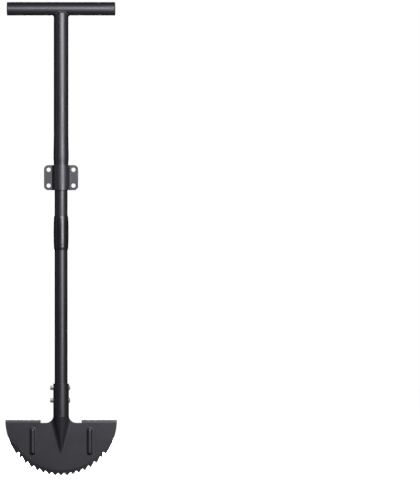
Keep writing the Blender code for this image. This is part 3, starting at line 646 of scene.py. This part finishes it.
def build_bracket(looks, name, node, turn):
    """One saddle plate with rolled edges and four holes through its ears."""
    low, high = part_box("bracket_front")
    size = high - low
    z = (high.z + low.z) / 2
    tube_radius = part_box("upper_tube")[1].x - SWELL_HEIGHT
    margin = BRACKET_SHEET
    outline = saddle_outline(tube_radius, size.x / 2 + margin)
    obj = slab(name, outline, size.z / 2 + margin, place=(0.0, 0.0, z))
    plate = rounded_rectangle(size.x, size.z, BRACKET_CORNER, 12)
    combine(obj, slab("bracket_blank", plate, tube_radius * 2, SHEET_TURN, (0.0, 0.0, z)), "INTERSECT")
    for side_x in (-1, 1):
        for side_z in (-1, 1):
            place = (side_x * EAR_HOLE_SPACING[0] / 2, 0.0, z + side_z * EAR_HOLE_SPACING[1] / 2)
            hole = polygon(EAR_HOLE_SIDES, EAR_HOLE_D / 2)
            combine(obj, slab("ear_hole", hole, tube_radius * 2, SHEET_TURN, place))
    round_edges(obj, EDGE)
    obj.data.transform(turn)
    add_piece(obj, looks, "bracket_coat", HANDLE, [node])


# ---------------------------------------------------------------- coupling sleeve

def build_sleeve(looks):
    """Barrel-shaped union sleeve with turned-down lips and shallow grooves by its ends."""
    low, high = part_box("coupling_sleeve")
    mid_radius = high.x
    center = (high.z + low.z) / 2
    half = (high.z - low.z) / 2
    body = half - SLEEVE_TAPER
    bore = radius_of("mid_tube") + EDGE
    lip = mid_radius - SLEEVE_LIP_STEP
    barrel = []
    for i in range(SLEEVE_STEPS + 1):
        share = 1 - 2 * i / SLEEVE_STEPS
        radius = mid_radius - SLEEVE_END_STEP * share ** 2
        groove = (1 - abs(share)) * body / SLEEVE_GROOVE_PITCH
        if 0.5 < groove < SLEEVE_GROOVES + 0.5:
            radius -= SLEEVE_GROOVE_DEPTH * (1 + math.cos(2 * math.pi * groove)) / 2
        barrel.append((radius, body * share))
    profile = [(lip, half)] + barrel + [(lip, -half), (bore, -half), (bore, half)]
    lip_cuts = [SLEEVE_LIP_ROUNDING, SLEEVE_SHOULDER_ROUNDING]
    cuts = lip_cuts + [0.0] * (SLEEVE_STEPS - 1) + lip_cuts[::-1] + [EDGE, EDGE]
    obj = lathe("coupling_sleeve_shell", softened(profile, cuts), place=(0.0, 0.0, center))
    add_piece(obj, looks, "sleeve_coat", SLEEVE, ["coupling_sleeve"], angle=45.0)


# ---------------------------------------------------------------- socket and fasteners

def build_socket(looks):
    """Socket tube with a soft top lip and the slanted tongue behind the blade."""
    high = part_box("socket_tube")[1]
    radius = high.x
    inner = radius - SOCKET_WALL
    bottom = SOCKET_TONGUE_Z - SOCKET_WALL
    profile = [(radius, high.z), (radius, bottom), (inner, bottom), (inner, high.z)]
    obj = lathe("blade_socket", softened(profile, [SOCKET_LIP_ROUNDING, 0.0, 0.0, EDGE]))
    back_face = SHEET + EDGE
    below = bottom - SOCKET_WALL
    removed = [
        (-2 * radius, below),
        (2 * radius, below),
        (2 * radius, SOCKET_BASE_Z),
        (radius + EDGE, SOCKET_TONGUE_TOP_Z),
        (back_face, SOCKET_TONGUE_Z),
        (back_face, SOCKET_BASE_Z + EDGE),
        (-2 * radius, SOCKET_BASE_Z + EDGE),
    ]
    combine(obj, slab("socket_foot", removed, 2 * radius, SIDE_TURN))
    add_piece(obj, looks, "shaft_coat", HEAD, ["socket_tube"])


def build_socket_welds(looks):
    """Dressed weld under the socket in front, and plain beads down both sides of its tongue."""
    radius = radius_of("socket_tube")
    height = SOCKET_BASE_Z + EDGE / 2
    front = [(x, y, height) for x, y in arc((0.0, 0.0), radius - EDGE, 180, 360, 90)]
    obj = bead("weld_socket_front", front, SOCKET_WELD_R)
    add_piece(obj, looks, "shaft_coat", HEAD, angle=80.0)
    low_z = SOCKET_TONGUE_Z + 2 * TONGUE_WELD_R
    high_z = SOCKET_BASE_Z - TONGUE_WELD_R
    for name, side in (("left", -1), ("right", 1)):
        path = []
        for i in range(TONGUE_WELD_STEPS + 1):
            z = low_z + (high_z - low_z) * i / TONGUE_WELD_STEPS
            path.append((side * (radius - EDGE), SHEET + TONGUE_WELD_R / 2, z))
        obj = bead("weld_socket_" + name, path, TONGUE_WELD_R)
        add_piece(obj, looks, "shaft_coat", HEAD, angle=80.0)


def build_bolt(looks, place):
    """Round-head cross bolt with a hexagon key recess."""
    node = "socket_bolt_" + place
    low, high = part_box(node)
    z = (high.z + low.z) / 2
    head = (high.z - low.z) / 2
    under = high.x - BOLT_HEAD_HEIGHT
    length = under - low.x
    rise = BOLT_HEAD_HEIGHT - BOLT_HEAD_RIM
    dome_r = (head ** 2 + rise ** 2) / (2 * rise)
    edge = math.degrees(math.asin(head / dome_r))
    dome = arc((0.0, BOLT_HEAD_HEIGHT - dome_r), dome_r, 90, 90 - edge, 12)
    foot = [
        (head, 0.0),
        (BOLT_SHANK_R, 0.0),
        (BOLT_SHANK_R, BOLT_CHAMFER - length),
        (BOLT_SHANK_R - BOLT_CHAMFER, -length),
    ]
    profile = [(0.0, BOLT_HEAD_HEIGHT)] + dome[1:]
    profile += softened(foot, [BOLT_HEAD_ROUNDING, 0.0, 0.0, 0.0]) + [(0.0, -length)]
    obj = lathe("cross_bolt_" + place, profile, SMALL_STEPS, ALONG_X, (under, 0.0, z))
    key_x = under + BOLT_HEAD_HEIGHT - BOLT_KEY_DEPTH / 2 + EDGE
    combine(obj, slab("key", hexagon(BOLT_KEY_FLATS), BOLT_KEY_DEPTH / 2, ALONG_X, (key_x, 0.0, z)))
    add_piece(obj, looks, "bright_zinc", HEAD, [node])


def build_washer(looks, place):
    """Stamped flat washer with a rolled upper edge."""
    node = "socket_washer_" + place
    low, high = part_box(node)
    z = (high.z + low.z) / 2
    radius = (high.z - low.z) / 2
    thick = high.x - low.x
    profile = [(radius, thick), (radius, 0.0), (NUT_BORE_R, 0.0), (NUT_BORE_R, thick)]
    profile = softened(profile, WASHER_ROUNDING)
    obj = lathe("flat_washer_" + place, profile, SMALL_STEPS, AGAINST_X, (high.x, 0.0, z))
    add_piece(obj, looks, "bright_zinc", HEAD, [node])


def build_nut(looks, place):
    """Lock nut: chamfered hexagon, round collar and the nylon ring that the collar holds."""
    node = "socket_nut_" + place
    low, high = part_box(node)
    center = (high.x, 0.0, (high.z + low.z) / 2)
    face = NUT_FLATS / 2 - NUT_FACE_STEP
    girth = NUT_FLATS / 2 / math.cos(math.pi / 6) + NUT_BLANK_ROOM
    floor = NUT_HEIGHT - INSERT_DEPTH
    collar = [
        (NUT_BORE_R + INSERT_ROOM, NUT_HEIGHT),
        (NUT_COLLAR_R, NUT_HEIGHT),
        (NUT_COLLAR_R, NUT_HEX_HEIGHT),
    ]
    profile = softened(collar, NUT_ROUNDING) + [
        (face, NUT_HEX_HEIGHT),
        (girth, NUT_HEX_HEIGHT - NUT_CHAMFER),
        (girth, NUT_CHAMFER),
        (face, 0.0),
        (NUT_BORE_R, 0.0),
        (NUT_BORE_R, floor),
        (NUT_BORE_R + INSERT_ROOM, floor),
    ]
    obj = lathe("lock_nut_" + place, profile, NUT_STEPS, AGAINST_X, center)
    combine(obj, slab("hexagon", hexagon(NUT_FLATS, 90), NUT_HEIGHT * 2, AGAINST_X, center), "INTERSECT")
    add_piece(obj, looks, "bright_zinc", HEAD, [node], angle=25.0)
    ring = [
        (NUT_BORE_R + INSERT_OUTER, NUT_HEIGHT - INSERT_SINK),
        (NUT_BORE_R + INSERT_OUTER, floor),
        (NUT_BORE_R + INSERT_INNER, floor),
        (NUT_BORE_R + INSERT_INNER, NUT_HEIGHT - INSERT_SINK),
    ]
    insert = lathe("nut_insert_" + place, softened(ring, INSERT_ROUNDING), SMALL_STEPS, AGAINST_X, center)
    shade(insert)
    insert.data.materials.append(looks["nylon"])
    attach(insert, HEAD)


# ---------------------------------------------------------------- blade

def foot_distance(radius, fillet):
    """How far from its middle a round swelling meets the flat sheet."""
    return math.sqrt((radius + fillet) ** 2 - fillet ** 2)


def pressed_height(distance, radius, fillet, depth):
    """Height of a round swelling with a fillet at its foot, on a skin `depth` under the front."""
    foot = foot_distance(radius, fillet)
    if distance >= foot:
        return 0.0
    shoulder = foot * (radius - depth) / (radius + fillet)
    if distance < shoulder:
        return depth + math.sqrt((radius - depth) ** 2 - distance ** 2)
    under = fillet + depth
    return under - math.sqrt(max(under ** 2 - (foot - distance) ** 2, 0.0))


def frog_size(z):
    """Radius and foot fillet of the half cone at a height."""
    rise = min(max((z - FROG_TIP_Z) / (SOCKET_BASE_Z - FROG_TIP_Z), 0.0), 1.0)
    fillet = FROG_FILLET[0] + (FROG_FILLET[1] - FROG_FILLET[0]) * rise
    return radius_of("socket_tube") * rise, fillet


def sheet_height(x, z, depth):
    """How far the sheet's skin stands forward of flat, from the frog and the two beads."""
    radius, fillet = frog_size(z)
    frog = pressed_height(abs(x), radius, fillet, depth) if radius > 0.0 else 0.0
    nearest_z = min(max(z, BEAD_Z[0]), BEAD_Z[1])
    from_bead = math.hypot(abs(x) - BEAD_X, z - nearest_z)
    return frog + pressed_height(from_bead, BEAD_R, BEAD_FILLET, depth)


def eased(count):
    """Shares from 0 to 1 that crowd together towards 1."""
    return [math.sin(math.pi / 2 * i / count) for i in range(count + 1)]


def column_places(z, half_width):
    """X of each grid line on the right half of the sheet at a height, from the middle out."""
    radius, fillet = frog_size(z)
    frog_foot = max(foot_distance(radius, fillet), FROG_LEAST_FOOT)
    bead_foot = foot_distance(BEAD_R, BEAD_FILLET)
    columns = [frog_foot * share for share in eased(FROG_COLUMNS)]
    columns += [RECESS_X - 2 * SLIT, RECESS_X - SLIT]
    columns += [BEAD_X - bead_foot * share for share in reversed(eased(BEAD_LINES))]
    columns += [BEAD_X + bead_foot * share for share in eased(BEAD_LINES)[1:]]
    columns += [half_width * share for share in OUTER_COLUMNS]
    return columns + [half_width + SHEET_MARGIN]


def row_places():
    """Developed height of each grid line, up the sheet and then back along the tread."""
    bead_foot = foot_distance(BEAD_R, BEAD_FILLET)
    rows = list(ROWS_BELOW_BEAD)
    rows += [BEAD_Z[0] - bead_foot * share for share in reversed(eased(BEAD_LINES))]
    span = BEAD_Z[1] - BEAD_Z[0]
    rows += [BEAD_Z[0] + span * i / BEAD_ROWS for i in range(1, BEAD_ROWS)]
    rows += [BEAD_Z[1] + bead_foot * share for share in eased(BEAD_LINES)]
    rows += ROWS_UNDER_BEND
    bend_length = TREAD_BEND_R * math.pi / 2
    rows += [TREAD_BEND_Z + bend_length * i / BEND_ROWS for i in range(BEND_ROWS + 1)]
    return rows + [ROW_ON_TREAD, TREAD_BEND_Z + bend_length + TREAD_DEPTH - TREAD_BEND_R]


def sheet_point(x, reach, folded, depth):
    """Place of a point of the sheet, from its developed height and its depth under the front."""
    if not folded or reach <= TREAD_BEND_Z:
        return Vector((x, depth - sheet_height(x, reach, depth), reach))
    turn = min((reach - TREAD_BEND_Z) / TREAD_BEND_R, math.pi / 2)
    past = reach - TREAD_BEND_Z - turn * TREAD_BEND_R
    radius = TREAD_BEND_R - depth
    return Vector((
        x,
        TREAD_BEND_R - radius * math.cos(turn) + past,
        TREAD_BEND_Z + radius * math.sin(turn),
    ))


def build_sheet(half_width):
    """The pressed and folded sheet before its outline is cut, as one closed skin."""
    rows = row_places()
    half_columns = len(column_places(0.0, half_width)) - 1
    slit = column_places(0.0, half_width).index(RECESS_X - 2 * SLIT) + 0.5
    bend_row = rows.index(TREAD_BEND_Z)
    bm = bmesh.new()
    bmesh.ops.create_grid(bm, x_segments=2 * half_columns, y_segments=len(rows) - 1, size=1.0)
    stretch = Matrix.Diagonal((half_columns, (len(rows) - 1) / 2, 1.0, 1.0))
    lift = Matrix.Translation((0.0, (len(rows) - 1) / 2, 0.0))
    bmesh.ops.transform(bm, matrix=lift @ stretch, verts=bm.verts[:])
    opened = []
    for face in bm.faces:
        middle = face.calc_center_median()
        if abs(abs(middle.x) - slit) < 0.1 and middle.y > bend_row:
            opened.append(face)
    bmesh.ops.delete(bm, geom=opened, context="FACES")
    front = bm.verts[:]
    grown = bmesh.ops.extrude_face_region(bm, geom=bm.faces[:])
    back = [item for item in grown["geom"] if isinstance(item, bmesh.types.BMVert)]
    for depth, verts in ((0.0, front), (SHEET, back)):
        for vert in verts:
            column = round(vert.co.x)
            reach = rows[round(vert.co.y)]
            x = math.copysign(column_places(reach, half_width)[abs(column)], column)
            vert.co = sheet_point(x, reach, abs(x) > RECESS_X - 1.5 * SLIT, depth)
    return finished(bm, "blade_sheet")


def on_disc(radius, x):
    """Point of the disc's lower half at an x, on a circle of some radius."""
    return (x, DISC_CENTER_Z - math.sqrt(radius ** 2 - x ** 2))


def tooth_row():
    """Right half of the saw edge, from the middle tooth outwards to the tip of the last one."""
    tips = [TOOTH_PITCH * i for i in range(PITCHED_TEETH + 1)] + list(OUTER_TEETH)
    corners = [on_disc(TOOTH_TIP_R, 0.0)]
    for here, there in zip(tips, tips[1:]):
        root = on_disc(TOOTH_ROOT_R, (here + there) / 2 + (TOOTH_LEAN if here else 0.0))
        if there == tips[-1]:
            root = on_disc(LAST_ROOT_R, here + LAST_ROOT_STEP)
        corners += [root, on_disc(TOOTH_TIP_R, there)]
    cuts = [0.0] + [ROOT_CUT if i % 2 else TIP_CUT for i in range(1, len(corners) - 1)] + [0.0]
    return softened(corners, cuts, 4)


def blade_outline(half_width):
    """Closed outline of the finished blade seen from the front."""
    rim_start = math.degrees(math.acos(OUTER_TEETH[-1] / TOOTH_TIP_R))
    points = tooth_row()
    for i in range(1, RIM_STEPS + 1):
        share = i / RIM_STEPS
        angle = math.radians(rim_start * (1 - share) + RIM_TOP_ANGLE * share)
        radius = TOOTH_TIP_R + (half_width + EDGE - TOOTH_TIP_R) * math.sqrt(share)
        points.append((radius * math.cos(angle), DISC_CENTER_Z - radius * math.sin(angle)))
    top = TREAD_BEND_Z + TREAD_BEND_R + SHEET
    points += [(half_width, RECESS_Z), (half_width, top), (RECESS_X, top), (RECESS_X, RECESS_Z)]
    fillet_end = radius_of("socket_tube")
    center = (NECK_FILLET_X, RECESS_Z + NECK_FILLET_R)
    last = math.degrees(math.acos((fillet_end - center[0]) / NECK_FILLET_R))
    points += arc(center, NECK_FILLET_R, 270, 360 - last, 16)
    points.append((fillet_end, SOCKET_BASE_Z))
    return points + [(-x, z) for x, z in reversed(points) if x > MERGE]


def build_grinding():
    """The wedge ring that thins the blade's front behind its teeth, ended by two slanted cuts."""
    slope = GRIND_DEPTH / (TOOTH_TIP_R - GRIND_R)
    reach = TOOTH_TIP_R + GRIND_RUN_IN
    profile = [
        (reach, GRIND_RUN_IN * slope),
        (reach, (GRIND_R - reach) * slope),
        (GRIND_R - GRIND_RUN_IN, GRIND_RUN_IN * slope),
    ]
    ring = lathe("grinding", profile, GRIND_STEPS, SHEET_TURN, (0.0, 0.0, DISC_CENTER_Z))
    far = reach + GRIND_RUN_IN
    side_z = GRIND_END[1] + GRIND_END_SLOPE * (far - GRIND_END[0])
    zone = [
        (-far, DISC_CENTER_Z - far),
        (far, DISC_CENTER_Z - far),
        (far, side_z),
        GRIND_END,
        (-GRIND_END[0], GRIND_END[1]),
        (-far, side_z),
    ]
    combine(ring, slab("grinding_zone", zone, far, SHEET_TURN), "INTERSECT")
    return ring


def crease_grinding(mesh):
    """Keep the low ridge where the ground wedge meets the flat front crisp."""
    bm = bmesh.new()
    bm.from_mesh(mesh)
    for edge in bm.edges:
        inner = min(math.hypot(vert.co.x, vert.co.z - DISC_CENTER_Z) for vert in edge.verts)
        if inner > GRIND_R - EDGE and edge.calc_face_angle(0.0) > RIDGE_ANGLE:
            edge.smooth = False
    bm.to_mesh(mesh)
    bm.free()


def build_blade(looks):
    """The half-moon blade: pressed sheet, cut outline with teeth, ground edge."""
    half_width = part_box("blade")[1].x
    obj = build_sheet(half_width)
    combine(obj, slab("blade_blank", blade_outline(half_width), 2 * TREAD_DEPTH, SHEET_TURN), "INTERSECT")
    combine(obj, build_grinding())
    add_piece(obj, looks, "blade_coat", HEAD, ["blade"], angle=28.0, crease=crease_grinding)


# ---------------------------------------------------------------- stage, lights and camera

def build_floor():
    """A plain pale floor, low enough for the drawn-out head, that only the camera sees."""
    bpy.ops.mesh.primitive_circle_add(vertices=128, radius=FLOOR_RADIUS, fill_type="NGON")
    floor = bpy.context.object
    floor.name = "studio_floor"
    floor.location = (0.0, 0.0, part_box("blade")[0].z - HEAD_DRAW - EDGE)
    material, shader = new_material("studio_floor")
    shader.inputs["Base Color"].default_value = (0.9, 0.9, 0.9, 1.0)
    shader.inputs["Roughness"].default_value = 0.9
    shader.inputs["Specular IOR Level"].default_value = 0.0
    shader.inputs["Emission Color"].default_value = (1.0, 1.0, 1.0, 1.0)
    shader.inputs["Emission Strength"].default_value = FLOOR_GLOW
    floor.data.materials.append(material)
    floor.visible_diffuse = False
    floor.visible_glossy = False


def build_world():
    """White behind the tool, dim grey in its reflections."""
    world = bpy.data.worlds.new("studio")
    bpy.context.scene.world = world
    world.use_nodes = True
    tree = world.node_tree
    dim = tree.nodes["Background"]
    dim.inputs["Color"].default_value = DIM_TONE
    dim.inputs["Strength"].default_value = DIM_STRENGTH
    white = add_node(tree, "ShaderNodeBackground")
    white.inputs["Color"].default_value = (1.0, 1.0, 1.0, 1.0)
    rays = add_node(tree, "ShaderNodeLightPath")
    mix = add_node(tree, "ShaderNodeMixShader")
    tree.links.new(rays.outputs["Is Camera Ray"], mix.inputs["Fac"])
    tree.links.new(dim.outputs["Background"], mix.inputs[1])
    tree.links.new(white.outputs["Background"], mix.inputs[2])
    tree.links.new(mix.outputs["Shader"], tree.nodes["World Output"].inputs["Surface"])


def add_light(name, place, target, size, power, color=(1.0, 1.0, 1.0)):
    """A rectangular softbox that faces a point."""
    light = bpy.data.lights.new(name, "AREA")
    light.shape = "RECTANGLE"
    light.size, light.size_y = size
    light.energy = power
    light.color = color
    obj = bpy.data.objects.new(name, light)
    bpy.context.scene.collection.objects.link(obj)
    obj.location = place
    toward = Vector(target) - Vector(place)
    obj.rotation_euler = toward.to_track_quat("-Z", "Y").to_euler()
    obj.visible_camera = False
    return obj


def build_lights():
    """A tall key box on the right, a small one over the bar, two behind and a weak one on the left."""
    add_light("key_softbox", (0.66, -1.40, 1.14), (0.0, 0.0, 0.97), (0.66, 1.7), 30.5, KEY_TINT)
    add_light("brow_softbox", (0.04, -1.30, 1.17), (0.0, 0.0, 0.98), (0.50, 0.34), 4.8, KEY_TINT)
    add_light("rear_softbox", (0.0, 1.60, 0.85), (0.0, 0.0, 0.70), (0.60, 1.4), 18.0)
    rear_fill = add_light("rear_fill", (0.25, 1.80, 0.95), (0.0, 0.0, 0.50), (1.2, 1.6), 110.0)
    rear_fill.visible_glossy = False
    add_light("side_softbox", (-1.60, -0.30, 1.00), (0.0, 0.0, 0.80), (0.40, 1.9), 0.9)


def build_camera():
    """Straight in front of the tool, along +Y."""
    camera = bpy.data.cameras.new("camera")
    camera.lens = LENS
    camera.sensor_width = SENSOR
    camera.clip_end = 60.0
    obj = bpy.data.objects.new("camera", camera)
    bpy.context.scene.collection.objects.link(obj)
    obj.location = (VIEW_CENTER[0], -VIEW_HEIGHT * LENS / SENSOR, VIEW_CENTER[1])
    obj.rotation_euler = (math.pi / 2, 0.0, 0.0)
    bpy.context.scene.camera = obj


# ---------------------------------------------------------------- assembly

def main():
    """Make the finishes, the studio and every piece."""
    looks = make_materials()
    build_camera()
    build_world()
    build_floor()
    build_lights()
    build_cross_bar(looks)
    build_cap(looks, "grip_cap_left", "cross_bar_cap_left", AGAINST_X, -1)
    build_cap(looks, "grip_cap_right", "cross_bar_cap_right", ALONG_X, 1)
    build_upper_tube(looks)
    build_bar_weld(looks)
    build_bracket(looks, "saddle_plate_front", "bracket_front", Matrix.Identity(4))
    build_bracket(looks, "saddle_plate_back", "bracket_back", Matrix.Rotation(math.pi, 4, "Z"))
    tube_radius = radius_of("mid_tube")
    build_plain_tube(looks, "shaft_middle_tube", "mid_tube", tube_radius, HANDLE)
    build_plain_tube(looks, "shaft_lower_tube", "lower_tube", tube_radius, HEAD)
    build_sleeve(looks)
    build_socket(looks)
    build_socket_welds(looks)
    for place in ("lower", "upper"):
        build_bolt(looks, place)
        build_washer(looks, place)
        build_nut(looks, place)
    build_blade(looks)
    for node in ("coupling_spigot", "spigot_rivet", "index_pin"):
        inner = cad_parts[node]
        inner.data.materials.clear()
        inner.data.materials.append(looks["plain_steel"])
    bpy.context.scene.view_settings.view_transform = "Standard"


main()
